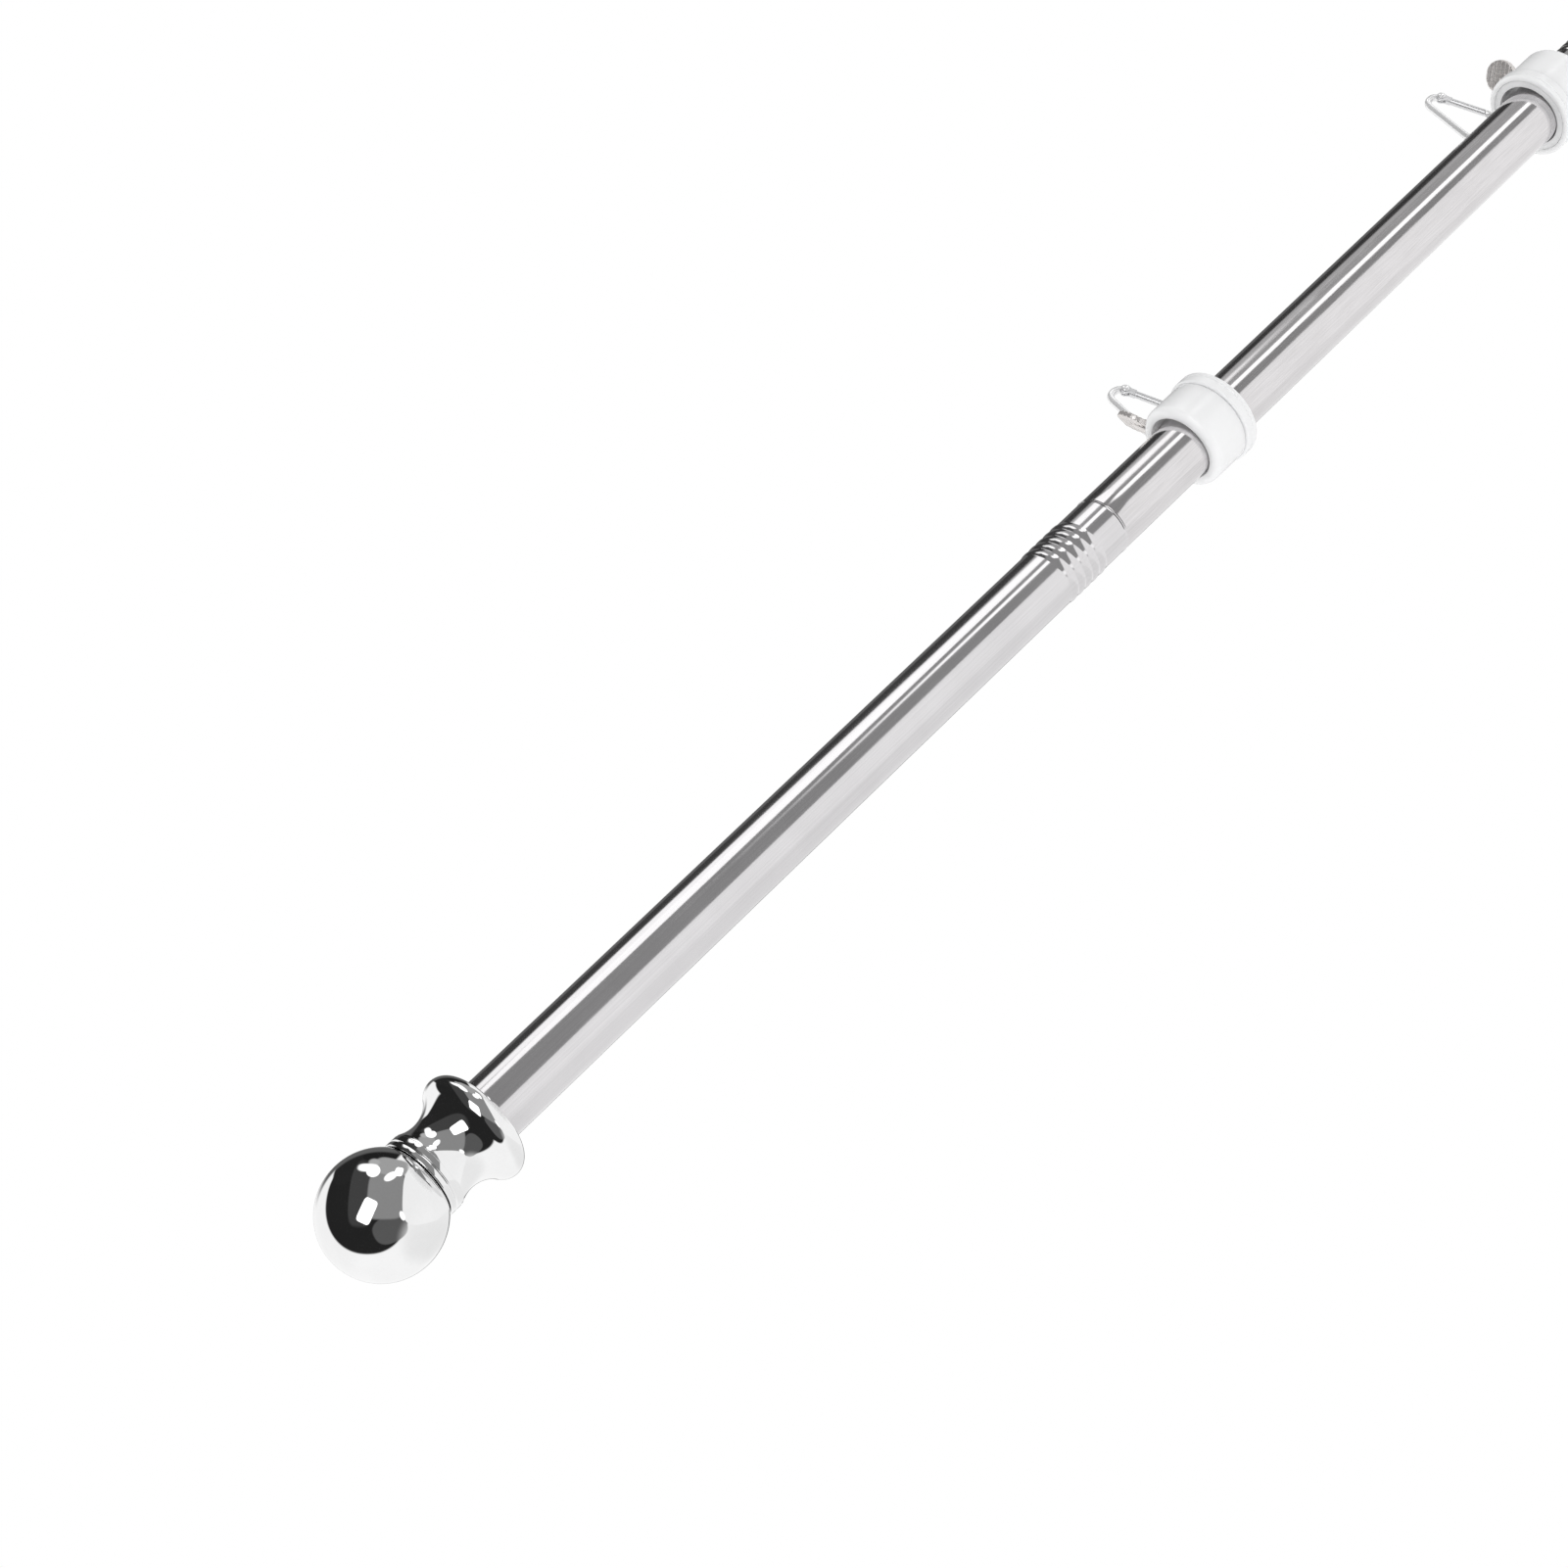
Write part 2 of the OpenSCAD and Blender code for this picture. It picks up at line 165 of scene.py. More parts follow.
# One socket of a shader; sums written with it add their Math nodes
class Wire:
    def __init__(self, tree, socket=None):
        self.tree = tree
        self.socket = socket

    # Any node: its settings go in first, then the values or wires of its sockets
    def node(self, kind, settings=None, values=None, out=0):
        made = self.tree.nodes.new(kind)
        for name, value in (settings or {}).items():
            setattr(made, name, value)
        for name, value in (values or {}).items():
            if isinstance(value, Wire):
                self.tree.links.new(value.socket, made.inputs[name])
            else:
                made.inputs[name].default_value = value
        return Wire(self.tree, made.outputs[out] if made.outputs else None)

    def math(self, operation, first, second=0.0):
        return self.node("ShaderNodeMath", {"operation": operation}, {0: first, 1: second})

    def __add__(self, other):
        return self.math("ADD", self, other)

    def __sub__(self, other):
        return self.math("SUBTRACT", self, other)

    def __rsub__(self, other):
        return self.math("SUBTRACT", other, self)

    def __mul__(self, other):
        return self.math("MULTIPLY", self, other)

    def __truediv__(self, other):
        return self.math("DIVIDE", self, other)

    def __pow__(self, other):
        return self.math("POWER", self, other)

    def __abs__(self):
        return self.math("ABSOLUTE", self)

    __radd__ = __add__
    __rmul__ = __mul__

    def dot(self, direction):
        return self.node("ShaderNodeVectorMath", {"operation": "DOT_PRODUCT"},
                         {0: self, 1: tuple(direction)}, out="Value")

    # From one level to another as this value passes between two marks, eased
    def between(self, low, high, levelLow=0.0, levelHigh=1.0):
        return self.node("ShaderNodeMapRange", {"interpolation_type": "SMOOTHSTEP"},
                         {0: self, 1: low, 2: high, 3: levelLow, 4: levelHigh})

    # One colour turning into another as this value goes from 0 to 1
    def colours(self, first, second):
        return self.node("ShaderNodeMix", {"data_type": "RGBA"},
                         {0: self, 6: (*first, 1), 7: (*second, 1)}, out=2)


# The emptied node tree of a material or world, ready to be wired
def emptyTree(owner):
    owner.use_nodes = True
    owner.node_tree.nodes.clear()
    return Wire(owner.node_tree)


# Camera fitted to the photograph's pole edges, ball and ring edges; angles in degrees
cameraLook = {"aim": (11.3, -5.5, 1327.2), "distance": 1311.1, "heading": 25.735, "tilt": 27.15,
              "roll": 133.431, "lens": 80.949, "sensor": 36.0, "clipEnd": 20.0}


# Right, up and forward of the camera
def cameraAxes(look):
    heading, tilt, roll = np.radians([look["heading"], look["tilt"], look["roll"]])
    forward = np.array([math.sin(heading) * math.cos(tilt), math.cos(heading) * math.cos(tilt),
                        -math.sin(tilt)])
    levelRight = unit(np.cross(forward, (0, 0, 1)))
    levelUp = np.cross(levelRight, forward)
    up = levelUp * math.cos(roll) + levelRight * math.sin(roll)
    return np.cross(forward, up), up, forward


viewRight, viewUp, viewForward = cameraAxes(cameraLook)


def makeCamera(look):
    data = bpy.data.cameras.new("camera")
    data.lens = look["lens"]
    data.sensor_width = look["sensor"]
    data.sensor_fit = "HORIZONTAL"
    data.clip_end = look["clipEnd"]
    camera = addObject("camera", data)
    spot = (np.array(look["aim"]) - look["distance"] * viewForward) * mm
    stand(camera, viewRight, viewUp, -viewForward, spot)
    bpy.context.scene.camera = camera


makeCamera(cameraLook)
bpy.context.scene.view_settings.view_transform = "Standard"
print("camera set")

# The studio as polished metal shows it, laid out as on a mirror ball seen along the camera's axis.
# Each panel: middle and half size across and down the ball, turn in degrees, squareness, softness, level.
# Behind the pole, which the ball shows only at its very edge, are a wall and a door: how straight ahead each
# starts and is full, and its level. farSide is the wall's side of the ball, and where it starts and is full.
studioLook = {
    "white": 1.0, "dome": 0.9, "farWall": (0.72, 0.84, 0.12), "farDoor": (0.945, 0.972, 0.18),
    "farSide": ((-0.6, -0.8), (0.45, 0.80)),
    "panels": {
        "darkRoom": (-0.17, -0.20, 0.63, 0.71, 0, 2.2, 0.05, 0.018),
        "darkCorner": (-0.60, -0.66, 0.27, 0.20, -42, 2.2, 0.25, 0.02),
        "floorEdge": (0.17, 0.15, 0.25, 0.20, -25, 2.5, 0.15, 0.10),
        "darkTop": (-0.12, -0.92, 0.32, 0.14, 0, 2.5, 0.20, 0.015),
        "sideWall": (-0.28, -0.34, 0.17, 0.45, 0, 4.0, 0.30, 0.055),
        "backWall": (0.10, -0.34, 0.27, 0.34, 0, 5.0, 0.30, 0.265),
        "ceiling": (0.135, -0.745, 0.27, 0.115, 8, 3.0, 0.30, 0.37),
        "ledge": (-0.15, -0.795, 0.09, 0.045, 0, 2.0, 0.60, 0.45),
        "tableShade": (0.70, 0.40, 0.34, 0.42, 0, 2.0, 0.98, 0.87),
        "whiteBoard": (0.68, -0.33, 0.33, 0.45, 0, 4.0, 0.06, 0.965),
        "lampTail": (-0.23, -0.715, 0.16, 0.052, -6, 2.5, 0.50, 1.25),
        "secondLamp": (0.150, -0.615, 0.100, 0.055, -28, 2.0, 0.40, 1.5),
        "roundLamp": (-0.130, -0.68, 0.110, 0.085, 0, 2.0, 0.06, 1.35),
        "smallLamp": (0.264, -0.680, 0.060, 0.060, 10, 4.0, 0.08, 1.8),
        "softbox": (-0.165, -0.115, 0.185, 0.105, 113, 6.0, 0.06, 2.0),
        "sideGlint": (0.35, -0.04, 0.075, 0.035, 70, 2.0, 0.20, 1.2),
    },
}


# Polished metal sees the panels, and the camera and everything else see plain white
def makeWorld(look):
    world = bpy.data.worlds.new("studio")
    start = emptyTree(world)
    away = start.node("ShaderNodeTexCoord", out="Generated")
    turned = start.node("ShaderNodeVectorMath", {"operation": "SUBTRACT"}, {0: away, 1: tuple(viewForward)})
    half = start.node("ShaderNodeVectorMath", {"operation": "NORMALIZE"}, {0: turned})
    across, down = half.dot(viewRight), half.dot(-viewUp)
    light = start.math("ADD", look["white"])
    for middleA, middleD, sizeA, sizeD, turn, power, soft, level in look["panels"].values():
        cosine, sine = math.cos(math.radians(turn)), math.sin(math.radians(turn))
        along = ((across - middleA) * cosine + (down - middleD) * sine) / sizeA
        beside = ((down - middleD) * cosine - (across - middleA) * sine) / sizeD
        inside = (abs(along) ** power + abs(beside) ** power).between(1 - soft, 1 + soft, 1, 0)
        light = light + (level - light) * inside
    ahead = away.dot(viewForward)
    (sideA, sideD), (sideFrom, sideFull) = look["farSide"]
    beyond = (across * sideA + down * sideD).between(sideFrom, sideFull)
    for (low, high, level), share in ((look["farWall"], beyond), (look["farDoor"], 1.0)):
        light = light + (level - light) * ahead.between(low, high) * share
    path = world.node_tree.nodes.new("ShaderNodeLightPath")
    camera = Wire(world.node_tree, path.outputs["Is Camera Ray"])
    glossy = Wire(world.node_tree, path.outputs["Is Glossy Ray"])
    plain = camera * (look["white"] - look["dome"]) + look["dome"]
    shown = plain + (light - plain) * glossy
    background = start.node("ShaderNodeBackground", None, {"Color": (1, 1, 1, 1), "Strength": shown})
    start.node("ShaderNodeOutputWorld", None, {"Surface": background})
    bpy.context.scene.world = world


makeWorld(studioLook)

# One broad soft lamp gives the white rings their shape, and metal doesn't show it; sizes in metres
lampLook = {"place": (-1.5, -0.9, 2.9), "aim": (0, 0, 1.1), "size": 1.4, "watts": 9}


def makeLamp(look):
    data = bpy.data.lights.new("broad_lamp", "AREA")
    data.size = look["size"]
    data.energy = look["watts"]
    lamp = addObject("broad_lamp", data)
    spot = np.array(look["place"])
    back = unit(spot - np.array(look["aim"]))
    side = unit(np.cross((0, 0, 1), back))
    stand(lamp, side, np.cross(back, side), back, spot)
    lamp.visible_glossy = False


makeLamp(lampLook)

# Sizes in metres; the fade ends at this share of the radius
floorLook = {"radius": 0.62, "fadeFrom": 0.30, "fadeShare": 0.98, "colour": (0.86, 0.86, 0.86),
             "roughness": 0.6, "rings": 24, "segments": 96}


# Pale round floor at the pole's foot, a disc of rings that fades out towards its edge
def makeFloor(look):
    ring = np.linspace(0, look["radius"] / mm, look["rings"])
    disc = revolve(np.column_stack([ring, 0 * ring]), look["segments"])
    points, quads = skin(disc)
    mesh = bpy.data.meshes.new("floor")
    mesh.from_pydata((points * mm).tolist(), [], quads.tolist())
    floor = addObject("floor", mesh)
    material = bpy.data.materials.new("pale_floor")
    start = emptyTree(material)
    spot = start.node("ShaderNodeTexCoord", out="Object")
    reach = start.node("ShaderNodeVectorMath", {"operation": "LENGTH"}, {0: spot}, out="Value")
    solid = reach.between(look["fadeFrom"], look["radius"] * look["fadeShare"], 1, 0)
    matte = start.node("ShaderNodeBsdfPrincipled", None,
                       {"Base Color": (*look["colour"], 1), "Roughness": look["roughness"]})
    clear = start.node("ShaderNodeBsdfTransparent")
    shown = start.node("ShaderNodeMixShader", None, {0: solid, 1: clear, 2: matte})
    start.node("ShaderNodeOutputMaterial", None, {"Surface": shown})
    mesh.materials.append(material)


makeFloor(floorLook)
print("studio set")


# What all finishes share
noiseLook = {"grainDetail": 4.0, "grainRough": 0.6, "cloudDetail": 2.0, "darkest": 0.3, "palest": 0.7,
             "insideDepth": 0.005}


# A surface finish: noise stretched along the piece varies colour, roughness and relief
def makeFinish(name, look):
    material = bpy.data.materials.new(name)
    start = emptyTree(material)
    spot = start.node("ShaderNodeTexCoord", out="Object")
    stretched = start.node("ShaderNodeMapping", None, {"Vector": spot, "Scale": look["grainScale"]})
    grain = start.node("ShaderNodeTexNoise", None, {
        "Vector": stretched, "Scale": 1.0, "Detail": noiseLook["grainDetail"],
        "Roughness": noiseLook["grainRough"]})
    cloud = start.node("ShaderNodeTexNoise", None, {
        "Vector": spot, "Scale": look["cloudScale"], "Detail": noiseLook["cloudDetail"]})
    noise = grain * look["grainShare"] + cloud * (1 - look["grainShare"])
    mixed = noise.between(noiseLook["darkest"], noiseLook["palest"])
    rough = mixed * look["roughSpread"] + look["rough"]
    relief = start.node("ShaderNodeBump", None,
                        {"Strength": look["relief"], "Distance": look["reliefDepth"], "Height": grain})
    shader = start.node("ShaderNodeBsdfPrincipled", None, {
        "Base Color": mixed.colours(look["dark"], look["pale"]), "Metallic": look["metal"],
        "Roughness": rough, "Normal": relief, "Coat Weight": look.get("coat", 0.0),
        "Subsurface Weight": look.get("inside", 0.0), "Subsurface Radius": (1, 1, 1),
        "Subsurface Scale": noiseLook["insideDepth"]})
    start.node("ShaderNodeOutputMaterial", None, {"Surface": shader})
    return material


finishLooks = {
    "mirror_chrome": {"grainScale": (900, 900, 900), "cloudScale": 60, "grainShare": 0.3, "rough": 0.015,
                      "roughSpread": 0.025, "relief": 0.01, "reliefDepth": 0.0001, "metal": 1.0,
                      "dark": (0.865, 0.865, 0.867), "pale": (0.915, 0.915, 0.917)},
    "polished_steel": {"grainScale": (2600, 2600, 9), "cloudScale": 45, "grainShare": 0.6, "rough": 0.07,
                       "roughSpread": 0.07, "relief": 0.03, "reliefDepth": 0.00005, "metal": 0.96,
                       "dark": (0.705, 0.692, 0.703), "pale": (0.785, 0.772, 0.783)},
    "brushed_steel": {"grainScale": (2400, 2400, 60), "cloudScale": 45, "grainShare": 0.75, "rough": 0.06,
                      "roughSpread": 0.10, "relief": 0.10, "reliefDepth": 0.00005, "metal": 0.96,
                      "dark": (0.70, 0.683, 0.69), "pale": (0.805, 0.788, 0.797)},
    "white_moulding": {"grainScale": (2500, 2500, 2500), "cloudScale": 400, "grainShare": 0.5, "rough": 0.20,
                       "roughSpread": 0.06, "relief": 0.01, "reliefDepth": 0.0001, "metal": 0.0,
                       "dark": (0.945, 0.950, 0.960), "pale": (0.960, 0.965, 0.975),
                       "coat": 0.2, "inside": 0.5},
    "satin_casting": {"grainScale": (1800, 1800, 1800), "cloudScale": 300, "grainShare": 0.6, "rough": 0.20,
                      "roughSpread": 0.10, "relief": 0.02, "reliefDepth": 0.0001, "metal": 0.65,
                      "dark": (0.78, 0.745, 0.725), "pale": (0.87, 0.84, 0.825)},
    "bright_wire": {"grainScale": (2200, 2200, 2200), "cloudScale": 200, "grainShare": 0.5, "rough": 0.08,
                    "roughSpread": 0.05, "relief": 0.02, "reliefDepth": 0.00005, "metal": 0.42,
                    "dark": (0.95, 0.95, 0.955), "pale": (0.975, 0.975, 0.98)},
    "satin_wire": {"grainScale": (2200, 2200, 2200), "cloudScale": 200, "grainShare": 0.6, "rough": 0.22,
                   "roughSpread": 0.10, "relief": 0.04, "reliefDepth": 0.00005, "metal": 0.6,
                   "dark": (0.70, 0.70, 0.71), "pale": (0.83, 0.83, 0.84)},
    "black_moulding": {"grainScale": (3000, 3000, 3000), "cloudScale": 150, "grainShare": 0.6, "rough": 0.42,
                       "roughSpread": 0.15, "relief": 0.15, "reliefDepth": 0.0001, "metal": 0.0,
                       "dark": (0.018, 0.018, 0.019), "pale": (0.035, 0.035, 0.037)},
}
finishes = {name: makeFinish(name, look) for name, look in finishLooks.items()}
print("finishes made:", len(finishes))

finialLook = {"stud": 4.5, "studGap": 0.1, "socketDepth": 24.0, "poleGap": 0.12, "mouth": 0.45, "skirt": 22.2,
              "neck": 14.7, "neckHeight": 21.2, "cove": 14.6, "band": 16.4, "bandFoot": 28.5, "groove": 0.45,
              "grooveHeight": 31.2, "grooveHalf": 0.5, "edge": 0.25, "bandStep": 0.2, "lipRise": 1.6,
              "lipRound": 0.45, "roof": 1.1, "seatFoot": 28.4, "seat": 12.4, "seatHeight": 31.4,
              "segments": 192}
poleR = boxOf(f"pole_section_{sectionCount}")[1][0]


# Ball: a half circle from its top down to the stud that screws into the base, carried round the axis
def makeBall(look):
    low, high = boxOf("finial_ball")
    radius = high[0]
    middle = high[2] - radius
    studAngle = -90 + math.degrees(math.asin(look["stud"] / radius))
    side = np.concatenate([arc((0, middle), radius, 90, studAngle, 120),
                           [[look["stud"], low[2]], [0, low[2]]]])
    side[0, 0] = 0
    makePiece("finial_ball", [skin(revolve(side, look["segments"]))], "pole",
              finishes["mirror_chrome"])


# Base: rounded rim that runs into the hollow neck, a trumpet end, a fine groove and a thin lip under the ball
def makeBase(look):
    low, high = boxOf("finial_base")
    bore = poleR + look["poleGap"]
    coveMiddle = np.array([look["neck"] + look["cove"], look["neckHeight"]])
    past = coveMiddle[0] - look["skirt"]
    total = look["neckHeight"] + look["cove"] - past
    rimRound = total - math.sqrt(total ** 2 - past ** 2 - look["neckHeight"] ** 2 + look["cove"] ** 2)
    rimMiddle = np.array([look["skirt"] - rimRound, rimRound])
    meet = math.degrees(math.atan2(*(coveMiddle - rimMiddle)[::-1]))
    coveEnd = math.degrees(math.acos((coveMiddle[0] - look["band"] + look["bandStep"]) / look["cove"]))
    lipTop = high[2] - low[2] + look["lipRise"]
    studBore, roof = look["stud"] + look["studGap"], look["socketDepth"] + look["roof"]
    lip, edge, inset = look["lipRound"], look["edge"], look["band"] - look["edge"]
    side = np.concatenate([
        [[0, roof], [studBore, roof], [studBore, look["seatFoot"]], [look["seat"], look["seatHeight"]]],
        arc((look["band"] - lip, lipTop - lip), lip, 115, 0, 8),
        arc((inset, look["grooveHeight"] + look["grooveHalf"]), edge, 0, -70, 6),
        [[look["band"] - look["groove"], look["grooveHeight"]]],
        arc((inset, look["grooveHeight"] - look["grooveHalf"]), edge, 70, 0, 6),
        arc((inset, look["bandFoot"] + edge), edge, 0, -70, 6),
        arc(coveMiddle, look["cove"], 180 - coveEnd, 180 + meet, 90),
        arc(rimMiddle, rimRound, meet, -90, 60)[1:],
        [[bore + look["mouth"], 0], [bore, look["mouth"]], [bore, look["socketDepth"]],
         [0, look["socketDepth"]]]])
    side[:, 1] += low[2]
    makePiece("finial_base", [skin(revolve(side, look["segments"]))], "pole",
              finishes["mirror_chrome"])


makeBall(finialLook)
makeBase(finialLook)
print("finial made")

tubeLook = {"wall": 0.7, "spigotGap": 0.12, "spigot": 42.0, "shoulder": 2.0, "corner": 0.35,
            "edgeHeight": 0.25, "edgeRound": 0.6, "edgeTop": 2.0, "threadFrom": 16.9, "pitch": 4.45,
            "turns": 5, "ridge": 0.38, "ridgeWidth": 4.4, "ridgePower": 1.15, "fade": 0.3, "threadStart": 65.0,
            "threadRows": 230, "wallRows": 40, "segments": 160}


# Rolled thread: a ridge that climbs one pitch a turn, rounded across and fading at both ends
def threadRidge(height, angle, look):
    turn = (angle - math.radians(look["threadStart"])) % tau / tau
    count = (height - look["threadFrom"]) / look["pitch"] + 0.5 - turn
    nearest = np.round(count)
    offset = np.clip((count - nearest) * look["pitch"] / look["ridgeWidth"], -0.5, 0.5)
    crest = np.cos(offset * math.pi) ** look["ridgePower"]
    along = nearest + turn
    return look["ridge"] * crest * ease(along / look["fade"]) * ease((look["turns"] - along) / look["fade"])


# Tube: outside wall from the rolled edge up to the shoulder, the reduced end, and back down the bore
def makeTube(number, look):
    low, high = boxOf(f"pole_section_{number}")
    bore = poleR - look["wall"]
    spigotR = bore - look["spigotGap"]
    hasSpigot = number > 1
    hasThread = number < sectionCount
    length = high[2] - low[2] - (look["spigot"] if hasSpigot else 0)
    edgeMiddle = (poleR + look["edgeHeight"] - look["edgeRound"], look["edgeRound"])
    edgeEnd = math.degrees(math.acos((look["edgeRound"] - look["edgeHeight"]) / look["edgeRound"]))
    threadFoot = look["threadFrom"] - look["pitch"]
    threadTop = look["threadFrom"] + (look["turns"] + 1) * look["pitch"]
    if hasThread:
        foot = np.concatenate([arc(edgeMiddle, look["edgeRound"], -90, edgeEnd, 12),
                               run((poleR, look["edgeTop"]), (poleR, threadFoot), 10),
                               run((poleR, threadFoot), (poleR, threadTop), look["threadRows"])])
    else:
        foot = arc((poleR - look["corner"], look["corner"]), look["corner"], -90, 0, 6)
    wall = run((poleR, threadTop), (poleR, length - look["corner"]), look["wallRows"])
    corner = arc((poleR - look["corner"], length - look["corner"]), look["corner"], 0, 90, 6)
    if hasSpigot:
        inner = spigotR - look["wall"]
        end = length + look["spigot"]
        head = [[spigotR, length], [spigotR, end], [inner, end], [inner, length - look["shoulder"]],
                [bore, length - look["shoulder"]]]
    else:
        head = [[bore, length]]
    side = np.concatenate([foot, wall, corner, head, [[bore, 0]]])
    swell = 0.0
    if hasThread:
        angle = np.linspace(0, tau, look["segments"], endpoint=False)
        outside = np.abs(side[:, :1] - poleR) < tiny
        swell = np.where(outside, threadRidge(side[:, 1:], angle[None, :], look), 0.0)
    points = revolve(side, look["segments"], swell=swell)
    points[..., 2] += low[2]
    finish = finishes["polished_steel" if number == 1 else "brushed_steel"]
    makePiece(f"pole_section_{number}", [skin(points, closed=True)], "pole", finish)


for number in range(1, sectionCount + 1):
    makeTube(number, tubeLook)
print("pole sections made")

plugLook = {"inset": 0.2, "flange": 2.5, "edge": 0.6, "gap": 0.1, "wall": 2.0, "segments": 96}


# Plug: a rounded flange under the tube and a hollow stem inside it, carried round the axis
def makePlug(look):
    low, high = boxOf("end_plug")
    outer = poleR - look["inset"]
    stem = poleR - tubeLook["wall"] - look["gap"]
    side = np.concatenate([
        [[0, 0]], arc((outer - look["edge"], look["edge"]), look["edge"], -90, 0, 8),
        [[outer, look["flange"]], [stem, look["flange"]], [stem, high[2]], [stem - look["wall"], high[2]],
         [stem - look["wall"], look["flange"]], [0, look["flange"]]]])
    makePiece("end_plug", [skin(revolve(side, look["segments"]))], "pole",
              finishes["black_moulding"])


makePlug(plugLook)

ringLook = {"bore": 14.3, "sleeve": 18.8, "sleeveLength": 18.9, "sleeveRound": 3.0, "mouth": 0.45,
            "foot": 0.35, "journal": 16.3, "lip": 17.1, "lipThickness": 1.2, "gap": 0.15, "collar": 19.8,
            "collarLength": 6.6, "collarRound": 0.9, "split": 0.2, "lineDepth": 0.22, "lineWidth": 0.28,
            "lineFrom": 2.3, "segments": 160}
earLook = {"hole": 2.5, "radius": 4.5, "thickness": 2.2, "root": 5.5, "edge": 0.35, "segments": 96}


# Heights above a ring's turning plane, put on the pole: ring 1 has its sleeve up and ring 2 down
def onRing(number, side):
    low, high = boxOf(f"clamp_sleeve_{number}")
    if number == 1:
        return np.column_stack([side[:, 0], high[2] - ringLook["sleeveLength"] + side[:, 1]])
    return np.column_stack([side[:, 0], low[2] + ringLook["sleeveLength"] - side[:, 1]])


# Sleeve: bore with an eased mouth, rounded free end, plain side, and the journal and lip inside the collar
def makeSleeve(number, look):
    end = look["sleeveLength"]
    foot = -look["gap"] - look["collarLength"]
    rounding = look["sleeveRound"]
    side = np.concatenate([
        [[look["bore"], foot], [look["bore"], end - look["mouth"]]],
        arc((look["bore"] + look["mouth"], end - look["mouth"]), look["mouth"], 180, 90, 6),
        arc((look["sleeve"] - rounding, end - rounding), rounding, 90, 0, 16),
        arc((look["sleeve"] - look["foot"], look["foot"]), look["foot"], 0, -90, 6),
        [[look["journal"], 0], [look["journal"], foot + look["lipThickness"]],
         [look["lip"], foot + look["lipThickness"]], [look["lip"], foot]]])
    centre = axisOf(f"collar_{number}_turn")
    points = revolve(onRing(number, side), look["segments"], centre)
    makePiece(f"clamp_sleeve_{number}", [skin(points, closed=True)], f"ring_{number}",
              finishes["white_moulding"])


# Ear: a rounded plate with a hole, its section carried round the hole out to the plate's outline
def earSkin(number, look):
    centre, hole = axisOf(f"collar_{number}_turn"), axisOf(f"hook_{number}_swing")
    outward = unit(hole - centre)
    angle = np.linspace(0, tau, look["segments"], endpoint=False)
    straight = np.minimum(look["radius"] / np.maximum(np.abs(np.sin(angle)), tiny),
                          look["root"] / np.maximum(np.abs(np.cos(angle)), tiny))
    reach = np.where(np.cos(angle) > 0, look["radius"], straight)
    top, edge = look["thickness"] / 2, look["edge"]
    section = [(0, edge, top), (0, 0, top - edge), (0, 0, edge - top), (0, edge, -top),
               (1, -edge, -top), (1, 0, edge - top), (1, 0, top - edge), (1, -edge, top)]
    rows = []
    for share, step, level in section:
        distance = look["hole"] + (reach - look["hole"]) * share + step
        rows.append(np.stack([distance * np.cos(angle), distance * np.sin(angle), np.full_like(angle, level)],
                             axis=-1))
    axes = (outward, np.cross((0, 0, 1), outward), (0, 0, 1))
    return skin(place(np.stack(rows), hole, axes), closed=True)


# Collar: rounded band with a fine line round it and a recess for the journal's lip, and its ear
def makeCollar(number, look):
    foot = -look["gap"] - look["collarLength"]
    top = -look["gap"] - look["split"]
    inner, rounding = look["journal"] + look["gap"], look["collarRound"]
    recess = look["lip"] + look["gap"]
    recessTop = foot + look["lipThickness"] + look["gap"]
    lineMiddle = foot + look["lineFrom"]
    side = np.concatenate([
        [[inner, top]], arc((look["collar"] - rounding, top - rounding), rounding, 90, 0, 10),
        [[look["collar"], lineMiddle + look["lineWidth"]], [look["collar"] - look["lineDepth"], lineMiddle],
         [look["collar"], lineMiddle - look["lineWidth"]]],
        arc((look["collar"] - rounding, foot + rounding), rounding, 0, -90, 10),
        [[recess, foot], [recess, recessTop], [inner, recessTop]]])
    points = revolve(onRing(number, side), look["segments"], axisOf(f"collar_{number}_turn"))
    makePiece(f"swivel_collar_{number}", [skin(points, closed=True), earSkin(number, earLook)],
              f"collar_{number}", finishes["white_moulding"])


screwLook = {"angle": 15.0, "height": 13.6, "shank": 2.0, "neck": 2.8, "reach": 26.8, "plate": 7.7,
             "thickness": 1.0, "ribs": 6, "ribPitch": 2.1, "rib": 0.42, "ribGap": 0.10, "ribEdge": 0.12,
             "ribFade": 0.8, "blunt": 24, "square": 7.0, "turn": {1: -28.0, 2: 20.0}, "gap": 0.05,
             "tipEdge": 0.4, "neckLength": 1.6, "rows": 180, "columns": 64, "segments": 48}


# Thumb plate: a flat rounded section carried along the screw, as wide as a circle and thicker at each rib
def plateSkin(look):
    along = np.sin(np.linspace(-math.pi / 2, math.pi / 2, look["rows"])) * look["plate"]
    width = np.sqrt(np.maximum(look["plate"] ** 2 - along ** 2, 0))
    order = along / look["ribPitch"] + (look["ribs"] - 1) / 2
    near = 0.5 - np.abs(order - np.clip(np.round(order), 0, look["ribs"] - 1))
    inward = ease((look["plate"] - np.abs(along)) / look["ribFade"])
    ribbed = ease((near - look["ribGap"]) / look["ribEdge"]) * look["rib"] * inward
    thick = (look["thickness"] + ribbed) * np.sqrt(1 - (np.abs(along) / look["plate"]) ** look["blunt"])
    angle = np.linspace(0, tau, look["columns"], endpoint=False)
    power = 2 / look["square"]
    across = np.sign(np.cos(angle)) * np.abs(np.cos(angle)) ** power
    over = np.sign(np.sin(angle)) * np.abs(np.sin(angle)) ** power
    rows = np.stack([along[:, None] + 0 * angle, width[:, None] * across, thick[:, None] * over], axis=-1)
    rows[..., 0] += look["reach"]
    return rows


